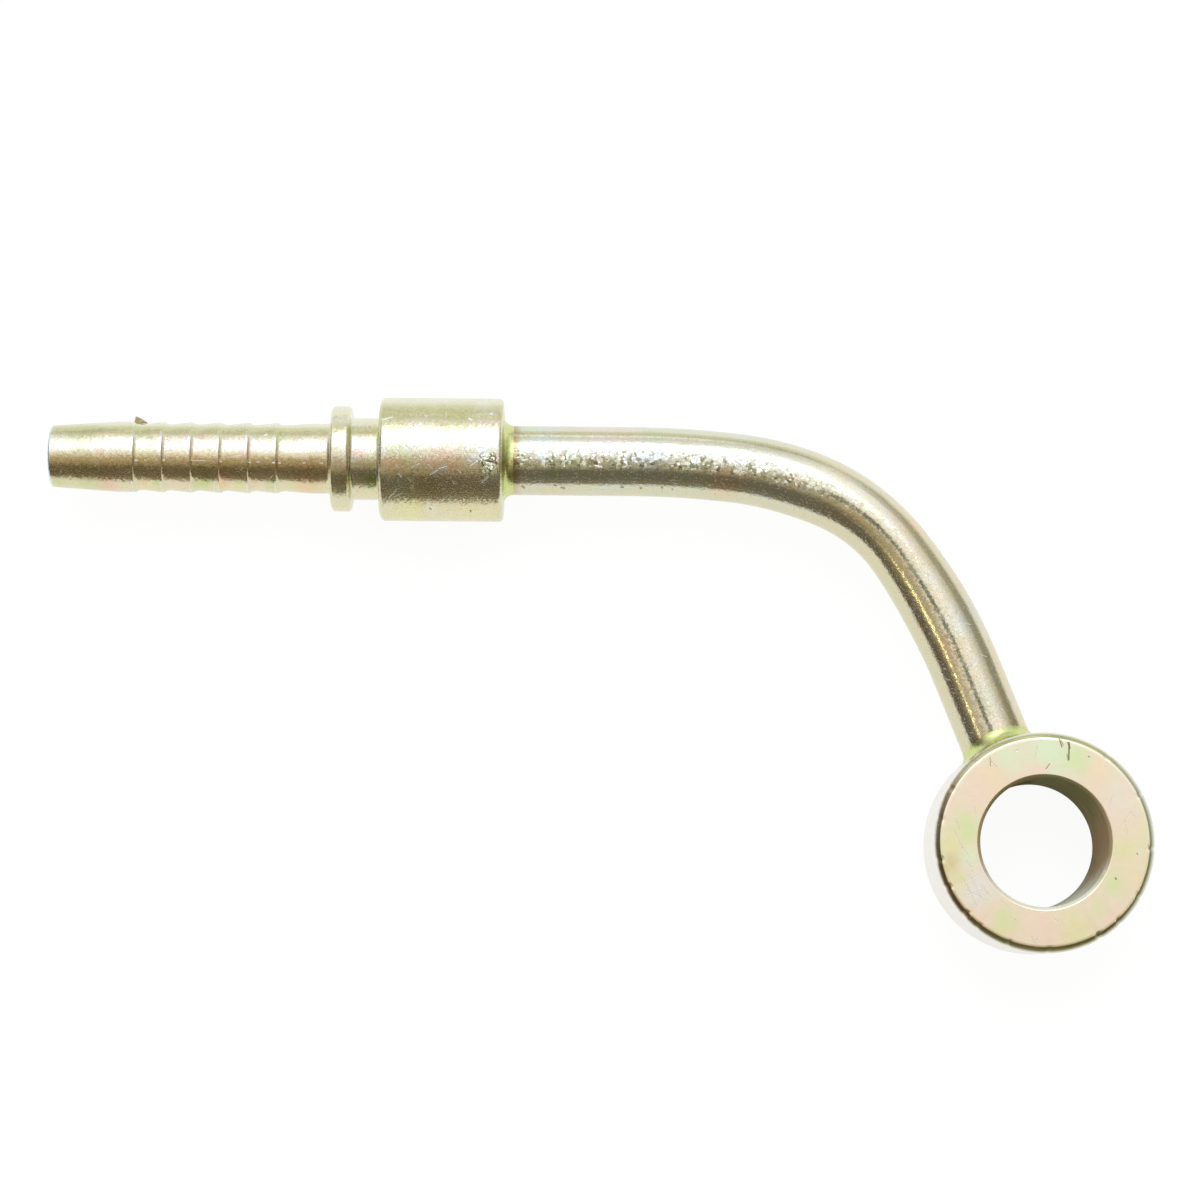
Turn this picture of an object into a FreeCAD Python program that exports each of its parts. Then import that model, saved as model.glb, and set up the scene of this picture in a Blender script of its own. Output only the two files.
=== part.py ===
import FreeCAD, Part
import math
import os

# Banjo fitting for a hydraulic hose, in millimetres.
# A bent steel tube joins a hose tail to a banjo eye, and is brazed into a socket at each end.
# The origin is the middle of the eye's bore: +Z runs along the bore, and the hose tail points
# along -X. The part lies flat on the eye's lower face, and the hub of the hose tail hangs just
# clear of that plane.

# Banjo eye: a turned ring for an M18 hollow bolt, with a socket in its side for the tube
eye_bore_diameter = 18.1
eye_wall = 6.45
eye_thickness = 18.0
eye_rim_chamfer = 0.8
eye_bore_chamfer = 0.45
eye_socket_depth = 3.5
eye_port_diameter = 6.5

# Tube: drawn steel, and straight at both ends of its bend
tube_outer_diameter = 10.0
tube_wall = 1.5
tube_run_at_hub = 18.4
hose_axis_offset = 54.7

# The bend is four arcs, from the eye to the hose tail. The second is the tightest, and the
# tube springs back towards straight on both sides of it
opening_bend_radius = 80.0
opening_bend_angle = 14.0
tight_bend_radius = 27.0
tight_bend_angle = 31.0
easing_bend_radius = 46.0
easing_bend_angle = 17.0
closing_bend_radius = 140.0
closing_bend_angle = 6.0

# Hose tail: one turned piece with barbs, a collar that locks the ferrule, and a hub for the tube
tail_bore_diameter = 7.0
tail_mouth_chamfer = 0.3
tail_tip_diameter = 8.9
tail_tip_chamfer = 0.3
tail_lead_length = 9.7
barb_first_crest = 12.3
barb_count = 6
barb_pitch = 4.1
barb_crest_diameter = 10.15
barb_crest_width = 0.45
barb_valley_diameter = 9.5
barb_fall_length = 0.75
root_diameter = 10.1
root_rise_length = 4.8
root_length = 3.0
root_bevel = 0.6
collar_diameter = 15.2
collar_width = 2.8
collar_chamfer = 0.35
neck_diameter = 11.8
neck_length = 4.2
neck_bevel = 0.4
hub_diameter = 17.8
hub_length = 17.7
hub_front_chamfer = 0.5
hub_rear_chamfer = 0.6
hub_socket_depth = 8.0

# Brazed joints: the gap that the braze runs into, and how far the braze stands up outside it
braze_gap = 0.05
hub_braze_leg = 1.5
eye_braze_leg = 1.4

# Sizes that follow from those above
eye_bore_radius = eye_bore_diameter / 2
eye_outer_radius = eye_bore_radius + eye_wall
tube_radius = tube_outer_diameter / 2
socket_radius = tube_radius + braze_gap
tube_seat_radius = eye_outer_radius - eye_socket_depth
bend_arcs = (
    (opening_bend_radius, opening_bend_angle),
    (tight_bend_radius, tight_bend_angle),
    (easing_bend_radius, easing_bend_angle),
    (closing_bend_radius, closing_bend_angle),
)
eye_heading = 180.0 - sum(turn for radius, turn in bend_arcs)

# Places along the hose tail, measured from its tip
last_crest = barb_first_crest + (barb_count - 1) * barb_pitch
root_start = last_crest + root_rise_length
collar_start = root_start + root_length
neck_start = collar_start + collar_width
hub_start = neck_start + neck_length
hub_end = hub_start + hub_length

origin = FreeCAD.Vector(0, 0, 0)
up = FreeCAD.Vector(0, 0, 1)
hose_axis = FreeCAD.Vector(1, 0, 0)


def along(heading):
    """The unit vector in the part's plane that points along a heading in degrees."""
    angle = math.radians(heading)
    return FreeCAD.Vector(math.cos(angle), math.sin(angle), 0)


def left_of(heading):
    """The unit vector to the left of a heading, the side on which the bend's centres lie."""
    return along(heading + 90)


def straight_run_at_eye():
    """How far the tube runs straight from the bore's axis, so that its bend ends on the hose axis."""
    climbed = 0.0
    heading = eye_heading
    for radius, turn in bend_arcs:
        climbed += radius * (left_of(heading).y - left_of(heading + turn).y)
        heading += turn
    return (hose_axis_offset - climbed) / along(eye_heading).y


def bend_edges():
    """The bend's centre line: one arc after another, each starting where the last one ends."""
    edges = []
    heading = eye_heading
    here = along(heading) * straight_run_at_eye()
    for radius, turn in bend_arcs:
        centre = here + left_of(heading) * radius
        middle = centre - left_of(heading + turn / 2) * radius
        heading += turn
        end = centre - left_of(heading) * radius
        edges.append(Part.Arc(here, middle, end).toShape())
        here = end
    return edges


bend = bend_edges()
bend_start = bend[0].firstVertex().Point
bend_end = bend[-1].lastVertex().Point
hub_face_x = bend_end.x - tube_run_at_hub
hub_face_centre = FreeCAD.Vector(hub_face_x, hose_axis_offset, 0)
tail_tip_x = hub_face_x - hub_end
tube_foot = along(eye_heading) * tube_seat_radius
tube_head = hub_face_centre - hose_axis * hub_socket_depth


def make_tube():
    """The bent tube: its wall swept along two straights and the arcs between them."""
    run_at_eye = Part.makeLine(tube_foot, bend_start)
    run_at_hub = Part.makeLine(bend_end, tube_head)
    centre_line = Part.Wire([run_at_eye] + bend + [run_at_hub])

    def swept(radius):
        circle = Part.makeCircle(radius, tube_foot, along(eye_heading))
        return centre_line.makePipe(Part.Face(Part.Wire(circle)))

    return swept(tube_radius).cut(swept(tube_radius - tube_wall))


def rod_between(start, end, radius):
    """A round rod from one point to another."""
    reach = end - start
    return Part.makeCylinder(radius, reach.Length, start, reach)


def closed_face(points):
    """The flat face inside a closed outline of straight lines."""
    return Part.Face(Part.makePolygon(points + points[:1]))


def make_eye():
    """The banjo eye: a chamfered ring, with the tube's socket and a port from it to the bore."""
    half = eye_thickness / 2
    upper_half = [
        (eye_bore_radius, half - eye_bore_chamfer),
        (eye_bore_radius + eye_bore_chamfer, half),
        (eye_outer_radius - eye_rim_chamfer, half),
        (eye_outer_radius, half - eye_rim_chamfer),
    ]
    lower_half = [(radius, -height) for radius, height in reversed(upper_half)]
    corners = [FreeCAD.Vector(radius, 0, height) for radius, height in upper_half + lower_half]
    ring = closed_face(corners).revolve(origin, up, 360)
    outside = along(eye_heading) * (eye_outer_radius + eye_socket_depth)
    socket = rod_between(tube_foot, outside, socket_radius)
    port = rod_between(origin, outside, eye_port_diameter / 2)
    return ring.cut(socket.fuse(port))


def barb_outline():
    """The barbs as (distance from the tip, radius) pairs: each rises slowly and falls quickly."""
    crest = barb_crest_diameter / 2
    points = [(tail_lead_length, crest)]
    for number in range(barb_count):
        place = barb_first_crest + number * barb_pitch
        points.append((place, crest))
        points.append((place + barb_fall_length, barb_valley_diameter / 2))
        points.append((place + barb_pitch - barb_crest_width, crest))
    return points[:-1] + [(root_start, root_diameter / 2)]


def shoulder_up(place, low, high, bevel, chamfer):
    """A shoulder that faces the tip: bevelled at its foot, and chamfered at its edge."""
    foot = [(place - bevel, low), (place, low + bevel)]
    return foot + [(place, high - chamfer), (place + chamfer, high)]


def shoulder_down(place, high, low, chamfer, bevel):
    """A shoulder that faces away from the tip."""
    edge = [(place - chamfer, high), (place, high - chamfer)]
    return edge + [(place, low + bevel), (place + bevel, low)]


def make_hose_tail():
    """The hose tail, turned in one piece, with its bore and the socket for the tube."""
    bore = tail_bore_diameter / 2
    tip = tail_tip_diameter / 2
    collar = collar_diameter / 2
    neck = neck_diameter / 2
    hub = hub_diameter / 2
    socket_floor = hub_end - hub_socket_depth
    outline = [(0, bore + tail_mouth_chamfer), (0, tip - tail_tip_chamfer), (tail_tip_chamfer, tip)]
    outline += barb_outline()
    outline += shoulder_up(collar_start, root_diameter / 2, collar, root_bevel, collar_chamfer)
    outline += shoulder_down(neck_start, collar, neck, collar_chamfer, neck_bevel)
    outline += shoulder_up(hub_start, neck, hub, neck_bevel, hub_front_chamfer)
    outline += [(hub_end - hub_rear_chamfer, hub), (hub_end, hub - hub_rear_chamfer)]
    outline += [(hub_end, socket_radius), (socket_floor, socket_radius), (socket_floor, bore)]
    outline += [(tail_mouth_chamfer, bore)]
    points = [FreeCAD.Vector(tail_tip_x + x, hose_axis_offset + r, 0) for x, r in outline]
    return closed_face(points).revolve(hub_face_centre, hose_axis, 360)


def make_hub_braze():
    """The braze round the tube where it leaves the hub: a ring with a sloping outer face."""
    foot = hub_face_centre + FreeCAD.Vector(0, tube_radius, 0)
    on_hub = foot + FreeCAD.Vector(0, hub_braze_leg, 0)
    on_tube = foot + FreeCAD.Vector(hub_braze_leg, 0, 0)
    return closed_face([foot, on_hub, on_tube]).revolve(hub_face_centre, hose_axis, 360)


def make_eye_braze():
    """The braze round the tube where it enters the eye: it follows the seam on the round side."""
    below = up * (-eye_thickness / 2)
    side = Part.makeCylinder(eye_outer_radius, eye_thickness, below, up)
    joined = side.fuse(rod_between(tube_foot, bend_start, tube_radius))
    seam = []
    for edge in joined.Edges:
        middle = edge.valueAt((edge.FirstParameter + edge.LastParameter) / 2)
        off_side = abs(math.hypot(middle.x, middle.y) - eye_outer_radius)
        off_tube = abs(middle.distanceToLine(origin, along(eye_heading)) - tube_radius)
        if max(off_side, off_tube) < Part.Precision.confusion() * 1000:
            seam.append(edge)
    return joined.makeChamfer(eye_braze_leg, seam).cut(joined)


pieces = {
    "banjo_eye": make_eye(),
    "bent_tube": make_tube(),
    "hose_tail": make_hose_tail(),
    "hub_braze_fillet": make_hub_braze(),
    "eye_braze_fillet": make_eye_braze(),
}
os.makedirs("parts", exist_ok=True)
for name, piece in pieces.items():
    piece.exportStep(f"parts/{name}.step")
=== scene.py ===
import math
import bmesh
import bpy
from mathutils import Matrix, Vector


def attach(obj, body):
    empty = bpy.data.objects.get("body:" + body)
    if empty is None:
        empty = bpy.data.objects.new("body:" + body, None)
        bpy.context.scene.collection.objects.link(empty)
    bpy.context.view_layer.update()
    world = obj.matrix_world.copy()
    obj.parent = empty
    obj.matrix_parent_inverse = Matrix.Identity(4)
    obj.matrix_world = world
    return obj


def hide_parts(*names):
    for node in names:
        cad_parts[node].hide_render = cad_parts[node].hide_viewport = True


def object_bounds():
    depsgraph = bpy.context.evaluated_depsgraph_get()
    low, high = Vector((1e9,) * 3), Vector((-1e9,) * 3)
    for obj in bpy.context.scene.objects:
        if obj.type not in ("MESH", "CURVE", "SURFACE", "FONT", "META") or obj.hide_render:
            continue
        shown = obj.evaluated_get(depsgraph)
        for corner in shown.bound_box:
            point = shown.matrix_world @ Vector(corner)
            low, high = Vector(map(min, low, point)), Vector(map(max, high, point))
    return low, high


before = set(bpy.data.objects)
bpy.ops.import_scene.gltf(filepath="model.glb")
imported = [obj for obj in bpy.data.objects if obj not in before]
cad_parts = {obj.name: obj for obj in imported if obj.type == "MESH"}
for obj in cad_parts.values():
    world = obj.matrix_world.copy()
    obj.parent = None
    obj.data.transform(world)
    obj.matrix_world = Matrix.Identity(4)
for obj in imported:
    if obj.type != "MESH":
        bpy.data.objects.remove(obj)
cad_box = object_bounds()


# Table and light: the part lies on a plain white table, under one large soft light and two
# small lamps. The room that the metal mirrors is bright overhead, and dim and brown round it.

MM = 0.001


def new_object(bm, name):
    """An object at the origin, with its place in its mesh."""
    mesh = bpy.data.meshes.new(name)
    bm.to_mesh(mesh)
    bm.free()
    piece = bpy.data.objects.new(name, mesh)
    bpy.context.scene.collection.objects.link(piece)
    return piece


def new_material(name):
    """A material's node tree, empty except for its output."""
    material = bpy.data.materials.new(name)
    material.use_nodes = True
    tree = material.node_tree
    tree.nodes.clear()
    output = tree.nodes.new("ShaderNodeOutputMaterial")
    return material, tree, output


def math_node(tree, operation, first, second=None, third=None):
    """A Math node fed by sockets or numbers; returns its output."""
    node = tree.nodes.new("ShaderNodeMath")
    node.operation = operation
    for socket, value in zip(node.inputs, (first, second, third)):
        if value is None:
            continue
        if isinstance(value, (int, float)):
            socket.default_value = value
        else:
            tree.links.new(value, socket)
    return node.outputs[0]


def product(tree, first, second):
    """Two sockets or numbers multiplied."""
    return math_node(tree, "MULTIPLY", first, second)


def shade_of(tree, value, dark_at, light_at):
    """0 up to dark_at and 1 from light_at, with a soft step between them."""
    step = tree.nodes.new("ShaderNodeMapRange")
    step.interpolation_type = "SMOOTHSTEP"
    tree.links.new(value, step.inputs["Value"])
    step.inputs["From Min"].default_value = dark_at
    step.inputs["From Max"].default_value = light_at
    return step.outputs["Result"]


camera_data = bpy.data.cameras.new("camera")
camera_data.sensor_width = 36.0
camera_data.lens = 104.11
camera = bpy.data.objects.new("camera", camera_data)
camera.location = (-0.06210, -0.01997, 0.49614)
camera.rotation_euler = [math.radians(a) for a in (6.2706, 0.0125, 0.5535)]
bpy.context.scene.collection.objects.link(camera)
bpy.context.scene.camera = camera
bpy.context.scene.view_settings.view_transform = "Standard"

table_height = cad_box[0][2]
table_reach = 6.0
table_mesh = bmesh.new()
bmesh.ops.create_grid(
    table_mesh, x_segments=1, y_segments=1, size=table_reach,
    matrix=Matrix.Translation((0, 0, table_height)),
)
table = new_object(table_mesh, "table")
table_white, tree, output = new_material("table_white")
paint = tree.nodes.new("ShaderNodeBsdfDiffuse")
paint.inputs["Color"].default_value = (0.12, 0.12, 0.12, 1.0)
glow = tree.nodes.new("ShaderNodeEmission")
glow.inputs["Color"].default_value = (1.0, 1.0, 1.0, 1.0)
light_path = tree.nodes.new("ShaderNodeLightPath")
# In the metal the table is white only near the part, and far off it is dimmer
table_white_level, far_level = 0.93, 0.35
away = tree.nodes.new("ShaderNodeVectorMath")
away.operation = "DISTANCE"
tree.links.new(tree.nodes.new("ShaderNodeTexCoord").outputs["Object"], away.inputs[0])
away.inputs[1].default_value = (-0.06, 0.03, table_height)
near_part = shade_of(tree, away.outputs["Value"], 0.30, 0.10)
in_metal = math_node(tree, "MULTIPLY_ADD", near_part, 1 - far_level, far_level)
in_metal = product(tree, light_path.outputs["Is Glossy Ray"], in_metal)
seen = math_node(tree, "MAXIMUM", light_path.outputs["Is Camera Ray"], in_metal)
seen = math_node(tree, "MAXIMUM", seen, light_path.outputs["Is Transmission Ray"])
tree.links.new(product(tree, seen, table_white_level), glow.inputs["Strength"])
both = tree.nodes.new("ShaderNodeAddShader")
tree.links.new(paint.outputs[0], both.inputs[0])
tree.links.new(glow.outputs[0], both.inputs[1])
tree.links.new(both.outputs[0], output.inputs["Surface"])
table.data.materials.append(table_white)

world = bpy.data.worlds.new("room")
world.use_nodes = True
tree = world.node_tree
looking = tree.nodes.new("ShaderNodeTexCoord").outputs["Generated"]
direction = tree.nodes.new("ShaderNodeSeparateXYZ")
tree.links.new(looking, direction.inputs[0])
# The room by how far a direction leans towards +Y: (lean, brightness, share of brown)
room_stops = (
    (-1.00, 0.23, 1.0), (-0.97, 0.19, 1.0), (-0.90, 0.14, 1.0), (-0.66, 0.13, 1.0), (-0.60, 0.19, 1.0),
    (-0.50, 0.36, 1.0), (-0.42, 0.43, 1.0), (-0.20, 0.53, 0.9), (-0.13, 0.74, 0.6), (-0.05, 0.96, 0.4),
    (0.05, 1.08, 0.25), (0.15, 1.17, 0.1), (0.30, 1.25, 0.0), (0.80, 1.25, 0.0), (0.86, 1.12, 0.2),
    (0.91, 0.98, 0.3), (0.95, 0.84, 0.35), (0.975, 0.68, 0.4),
)
brown_light, cool_light = Vector((1.0, 0.84, 0.54)), Vector((0.96, 1.0, 1.12))
brightest = 1.5
ramp = tree.nodes.new("ShaderNodeValToRGB")
leaning = math_node(tree, "MULTIPLY_ADD", direction.outputs["Y"], 0.5, 0.5)
tree.links.new(leaning, ramp.inputs["Fac"])
# A new ramp's white end stays as the room's bright rim, straight along +Y
stops = ramp.color_ramp.elements
for lean, level, brown in room_stops:
    place = (lean + 1) / 2
    stop = stops.new(place) if place else stops[0]
    stop.color = tuple(cool_light.lerp(brown_light, brown) * level / brightest) + (1.0,)
# The room ends in darker walls at both sides, and the lens shows as a dark spot overhead
far_left = shade_of(tree, direction.outputs["X"], -0.97, -0.55)
far_right = math_node(tree, "MULTIPLY_ADD", direction.outputs["X"], -1.42, 1.64)
far_right = math_node(tree, "MINIMUM", math_node(tree, "MAXIMUM", far_right, 0.2), 1.0)
dimmed = product(tree, math_node(tree, "MULTIPLY_ADD", far_left, 0.85, 0.15), far_right)
lens_direction = Vector((-0.08, -0.13, 1.0)).normalized()
aside = tree.nodes.new("ShaderNodeVectorMath")
aside.operation = "DOT_PRODUCT"
tree.links.new(looking, aside.inputs[0])
aside.inputs[1].default_value = lens_direction
lens_core, lens_edge = math.cos(math.radians(2)), math.cos(math.radians(5))
clear_of_lens = shade_of(tree, aside.outputs["Value"], lens_core, lens_edge)
dimmed = product(tree, dimmed, math_node(tree, "MULTIPLY_ADD", clear_of_lens, 0.55, 0.45))
browner = tree.nodes.new("ShaderNodeMix")
browner.data_type, browner.blend_type = "RGBA", "MULTIPLY"
tree.links.new(shade_of(tree, direction.outputs["X"], 0.45, 0.85), browner.inputs["Factor"])
tree.links.new(ramp.outputs["Color"], browner.inputs["A"])
browner.inputs["B"].default_value = (1.0, 0.93, 0.72, 1.0)
tree.links.new(browner.outputs["Result"], tree.nodes["Background"].inputs["Color"])
tree.links.new(product(tree, dimmed, brightest), tree.nodes["Background"].inputs["Strength"])
bpy.context.scene.world = world


def soft_panel(name, height, x_span, y_span, radiance, colour):
    """A flat light panel that hangs level over the part and has the radiance given."""
    lamp = bpy.data.lights.new(name, "AREA")
    lamp.shape = "RECTANGLE"
    lamp.size = (x_span[1] - x_span[0]) * height
    lamp.size_y = (y_span[1] - y_span[0]) * height
    lamp.energy = radiance * math.pi * lamp.size * lamp.size_y
    lamp.color = colour
    panel = bpy.data.objects.new(name, lamp)
    middle_x = (x_span[0] + x_span[1]) / 2 * height
    middle_y = (y_span[0] + y_span[1]) / 2 * height
    panel.location = (middle_x - 0.06, middle_y + 0.04, height)
    bpy.context.scene.collection.objects.link(panel)


soft_panel("softbox", 1.00, (-0.50, 0.42), (0.36, 1.40), 1.2, (0.95, 1.0, 1.1))
soft_panel("lamp_on_the_left", 1.00, (-1.04, -0.94), (-0.54, -0.45), 11.0, (1.0, 0.95, 0.7))
soft_panel("lamp_on_the_right", 1.00, (0.76, 0.88), (-0.40, -0.32), 9.0, (1.0, 1.0, 0.9))


# Hose tail: one piece turned from steel bar, zinc plated and passivated yellow. Six barbs
# hold the hose, a collar locks the ferrule, and the tube is brazed into the bored hub.

HOSE_AXIS_Y, TIP_X = 54.7, -142.141
first_crest, barb_pitch, barb_count = 12.3, 4.1, 6
crest_step, crest_drop, barb_face, crest_land = 0.08, 0.14, 0.85, 0.45
tip_taper, root_start, collar_front, collar_back = 9.7, 37.6, 40.6, 43.4
hub_front, hub_back = 47.6, 65.3
tip_radius, crest, valley, root_radius = 4.45, 5.075, 4.75, 5.05
collar_radius, neck_radius, hub_radius = 7.6, 5.9, 8.9
mouth_chamfer, collar_chamfer, hub_chamfer = 0.3, 0.35, 0.5
tail_bore, socket_bore, socket_depth = 3.5, 5.05, 8.0
HUB_FACE_X = TIP_X + hub_back


def smooth_outward(bm):
    """Turns all the faces outward and shades them as curved."""
    bmesh.ops.recalc_face_normals(bm, faces=bm.faces[:])
    for face in bm.faces:
        face.smooth = True


def turned(corners, steps):
    """A solid of revolution round X, from corners at (place, radius, rounding) in millimetres."""
    bm = bmesh.new()
    ring = [bm.verts.new((x * MM, r * MM, 0)) for x, r, cut in corners]
    for one, other in zip(ring, ring[1:] + ring[:1]):
        bm.edges.new((one, other))
    for vertex, (x, r, cut) in zip(ring, corners):
        if cut:
            bmesh.ops.bevel(
                bm, geom=[vertex], offset=cut * MM, offset_type="OFFSET", profile=0.5,
                segments=6 if cut > 0.25 else 2, affect="VERTICES", material=-1, clamp_overlap=True,
            )
    bmesh.ops.spin(
        bm, geom=bm.verts[:] + bm.edges[:], cent=(0, 0, 0), axis=(1, 0, 0),
        dvec=(0, 0, 0), angle=2 * math.pi, steps=steps, use_merge=True, use_duplicate=False,
    )
    bmesh.ops.remove_doubles(bm, verts=bm.verts[:], dist=0.0005 * MM)
    smooth_outward(bm)
    return bm


def keep_flats_true(piece):
    """Shades large faces flat and only the small rounded edges between them as curved."""
    weighted = piece.modifiers.new("flats", "WEIGHTED_NORMAL")
    weighted.mode = "FACE_AREA"
    weighted.weight = 50


tail_corners = [(0.0, tail_bore + mouth_chamfer, 0.1), (0.0, tip_radius, 0.4), (tip_taper, crest, 0.3)]
for barb in range(barb_count):
    place = first_crest + barb * barb_pitch
    tail_corners += [
        (place, crest, 0.03), (place + crest_step, crest - crest_drop, 0.0), (place + barb_face, valley, 0.2),
    ]
    if barb < barb_count - 1:
        tail_corners.append((place + barb_pitch - crest_land, crest, 0.08))
tail_corners += [
    (root_start, root_radius, 0.3), (collar_front, root_radius, 0.7),
    (collar_front, collar_radius - collar_chamfer, 0.1), (collar_front + collar_chamfer, collar_radius, 0.1),
    (collar_back - collar_chamfer, collar_radius, 0.1), (collar_back, collar_radius - collar_chamfer, 0.1),
    (collar_back, neck_radius, 0.5), (hub_front, neck_radius, 0.5),
    (hub_front, hub_radius - hub_chamfer, 0.15), (hub_front + hub_chamfer, hub_radius, 0.15),
    (hub_back, hub_radius, 0.7), (hub_back, socket_bore, 0.0),
    (hub_back - socket_depth, socket_bore, 0.0), (hub_back - socket_depth, tail_bore, 0.0),
    (mouth_chamfer, tail_bore, 0.1),
]
tail_mesh = turned(tail_corners, 192)
bmesh.ops.translate(tail_mesh, verts=tail_mesh.verts[:], vec=(TIP_X * MM, HOSE_AXIS_Y * MM, 0))
hose_tail = new_object(tail_mesh, "turned_hose_tail")
keep_flats_true(hose_tail)


def feed(tree, socket, value):
    """Sets a socket to a number, a vector or a colour, or links another socket to it."""
    if isinstance(value, bpy.types.NodeSocket):
        tree.links.new(value, socket)
    else:
        socket.default_value = value


def vector_node(tree, operation, *values):
    """A Vector Math node; returns the node, so that either output can be read."""
    node = tree.nodes.new("ShaderNodeVectorMath")
    node.operation = operation
    for socket, value in zip(node.inputs, values):
        feed(tree, socket, value)
    return node


def blend(tree, factor, first, second):
    """One colour where factor is 0 and the other where it is 1."""
    node = tree.nodes.new("ShaderNodeMix")
    node.data_type = "RGBA"
    feed(tree, node.inputs["Factor"], factor)
    feed(tree, node.inputs["A"], first)
    feed(tree, node.inputs["B"], second)
    return node.outputs["Result"]


def axes_of(tree, place):
    """A vector's X, Y and Z."""
    split = tree.nodes.new("ShaderNodeSeparateXYZ")
    feed(tree, split.inputs[0], place)
    return split.outputs["X"], split.outputs["Y"], split.outputs["Z"]


def tint(tree, film, mask, share, colour):
    """The film with a share of another colour where the mask is 1."""
    return blend(tree, product(tree, mask, share), film, colour + (1.0,))


def cloud(tree, place, scale, detail, roughness):
    """Soft noise with so many patches to the metre."""
    node = tree.nodes.new("ShaderNodeTexNoise")
    feed(tree, node.inputs["Vector"], place)
    feed(tree, node.inputs["Scale"], scale)
    feed(tree, node.inputs["Detail"], detail)
    feed(tree, node.inputs["Roughness"], roughness)
    return node.outputs["Fac"]


def new_group(name, inputs, outputs):
    """A node group with the named sockets; returns its tree and its two end nodes."""
    group = bpy.data.node_groups.new(name, "ShaderNodeTree")
    kinds = {"value": "NodeSocketFloat", "vector": "NodeSocketVector", "colour": "NodeSocketColor"}
    for label, kind in inputs:
        group.interface.new_socket(label, in_out="INPUT", socket_type=kinds[kind])
    for label, kind in outputs:
        group.interface.new_socket(label, in_out="OUTPUT", socket_type=kinds[kind])
    return group, group.nodes.new("NodeGroupInput"), group.nodes.new("NodeGroupOutput")


def place_group(tree, group, **values):
    """The group in a material, with its inputs set or linked by name."""
    node = tree.nodes.new("ShaderNodeGroup")
    node.node_tree = group
    for label, value in values.items():
        feed(tree, node.inputs[label.replace("_", " ")], value)
    return node


# Passivate film: thin clouds of pink, green and pale blue over the yellow
film_group, given, made = new_group(
    "passivate_film",
    [("Place", "vector"), ("Patches per metre", "value"), ("Yellow", "colour"),
     ("Pink", "colour"), ("Green", "colour"), ("Pale", "colour"),
     ("Pink share", "value"), ("Green share", "value"), ("Pale share", "value")],
    [("Colour", "colour")],
)
shifts = {"Pink": (0.31, 0.0, 0.0), "Green": (0.0, 0.47, 0.0), "Pale": (0.0, 0.0, 0.53)}
film = given.outputs["Yellow"]
for label, shift in shifts.items():
    moved = vector_node(film_group, "ADD", given.outputs["Place"], shift).outputs["Vector"]
    patch = cloud(film_group, moved, given.outputs["Patches per metre"], 4.0, 0.55)
    patch = shade_of(film_group, patch, 0.50, 0.66)
    patch = product(film_group, patch, given.outputs[label + " share"])
    film = blend(film_group, patch, film, given.outputs[label])
feed(film_group, made.inputs["Colour"], film)


def random_cells(tree, given):
    """Voronoi cells: the way out from a cell's middle, in cells, and a direction of its own."""
    cells = tree.nodes.new("ShaderNodeTexVoronoi")
    feed(tree, cells.inputs["Vector"], given.outputs["Place"])
    feed(tree, cells.inputs["Scale"], given.outputs["Cells per metre"])
    inside = vector_node(tree, "SUBTRACT", given.outputs["Place"], cells.outputs["Position"])
    inside = vector_node(tree, "SCALE", inside.outputs["Vector"])
    feed(tree, inside.inputs["Scale"], given.outputs["Cells per metre"])
    lean = vector_node(tree, "SUBTRACT", cells.outputs["Color"], (0.5, 0.5, 0.5))
    return inside.outputs["Vector"], lean.outputs["Vector"]


# Nicks: one short straight scratch in each cell, turned at random
nick_group, given, made = new_group(
    "nicks", [("Place", "vector"), ("Cells per metre", "value"), ("Length", "value"), ("Width", "value")],
    [("Mask", "value")],
)
inside, lean = random_cells(nick_group, given)
lean = vector_node(nick_group, "NORMALIZE", lean).outputs["Vector"]
run = vector_node(nick_group, "DOT_PRODUCT", inside, lean).outputs["Value"]
on_line = vector_node(nick_group, "SCALE", lean)
feed(nick_group, on_line.inputs["Scale"], run)
off_line = vector_node(nick_group, "DISTANCE", inside, on_line.outputs["Vector"]).outputs["Value"]
thin = math_node(nick_group, "LESS_THAN", off_line, given.outputs["Width"])
short = math_node(nick_group, "LESS_THAN", math_node(nick_group, "ABSOLUTE", run), given.outputs["Length"])
feed(nick_group, made.inputs["Mask"], product(nick_group, thin, short))

# Scuffed metal: small flat facets, each of which leans its own way
facet_group, given, made = new_group(
    "facets", [("Place", "vector"), ("Cells per metre", "value")], [("Height", "value")],
)
inside, lean = random_cells(facet_group, given)
sloping = vector_node(facet_group, "DOT_PRODUCT", inside, lean).outputs["Value"]
feed(facet_group, made.inputs["Height"], sloping)

# One mark seen from above, such as a scratch: a straight line between two places
mark_group, given, made = new_group(
    "mark", [("Place", "vector"), ("From", "vector"), ("To", "vector"), ("Width", "value")],
    [("Mask", "value")],
)
flat_place = vector_node(mark_group, "MULTIPLY", given.outputs["Place"], (1, 1, 0)).outputs["Vector"]
run = vector_node(mark_group, "SUBTRACT", given.outputs["To"], given.outputs["From"]).outputs["Vector"]
back = vector_node(mark_group, "SUBTRACT", flat_place, given.outputs["From"]).outputs["Vector"]
share = math_node(
    mark_group, "DIVIDE", vector_node(mark_group, "DOT_PRODUCT", back, run).outputs["Value"],
    vector_node(mark_group, "DOT_PRODUCT", run, run).outputs["Value"],
)
share = math_node(mark_group, "MINIMUM", math_node(mark_group, "MAXIMUM", share, 0.0), 1.0)
nearest = vector_node(mark_group, "SCALE", run)
feed(mark_group, nearest.inputs["Scale"], share)
off_mark = vector_node(mark_group, "DISTANCE", back, nearest.outputs["Vector"]).outputs["Value"]
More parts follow.
